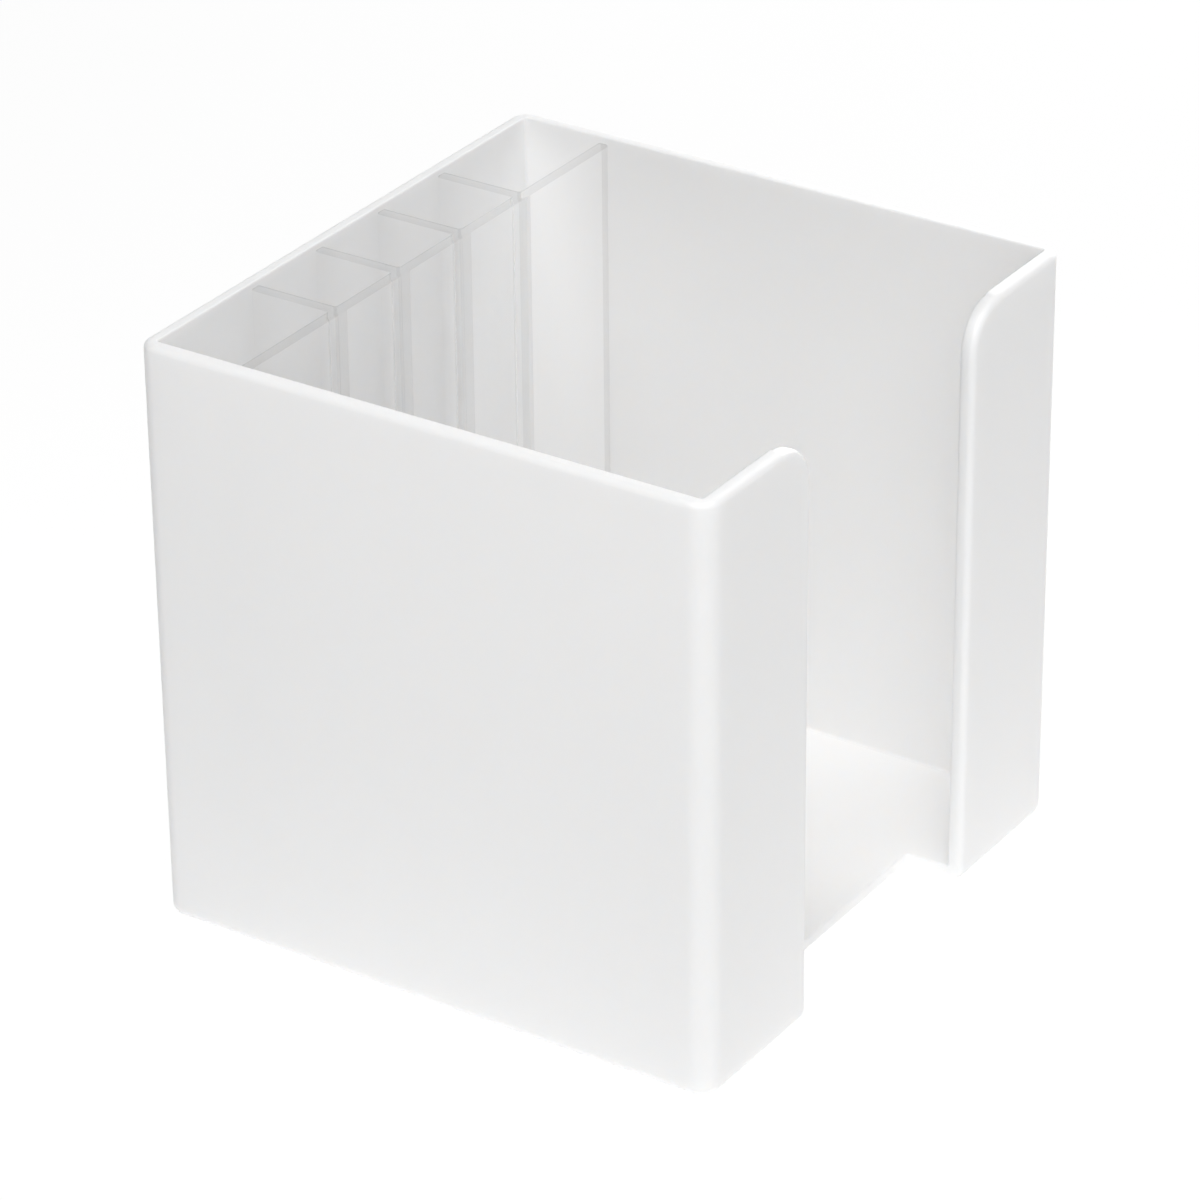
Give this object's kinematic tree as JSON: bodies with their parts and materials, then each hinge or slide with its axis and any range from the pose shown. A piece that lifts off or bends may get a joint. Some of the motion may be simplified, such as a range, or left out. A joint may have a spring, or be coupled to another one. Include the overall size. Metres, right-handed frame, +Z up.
{
  "type": "memo box with pen holder",
  "caption": "Open-topped desk box for a block of notes, open at the front with a finger notch, and a clear lift-out divider that makes a row of pen cells along the back wall.",
  "frame": {"origin": "centre of the underside, in the middle of the box's outer width and depth", "axes": "+Z up, the open front with the finger notch faces -Y, the pen cells are at +Y, +X is the width"},
  "size_m": [0.103, 0.101, 0.1],
  "materials": {
    "white_polystyrene": "satin, moulded",
    "clear_polystyrene": "clear, polished, with darker cut edges"
  },
  "bodies": {
    "box": {"box_body": "white_polystyrene"},
    "divider": {"pen_divider": "clear_polystyrene"}
  },
  "joints": [
    {"name": "divider_lift", "type": "slide", "parent": "box", "child": "divider", "axis": [0, 0, 1], "range_m": [0, 0.1]}
  ]
}
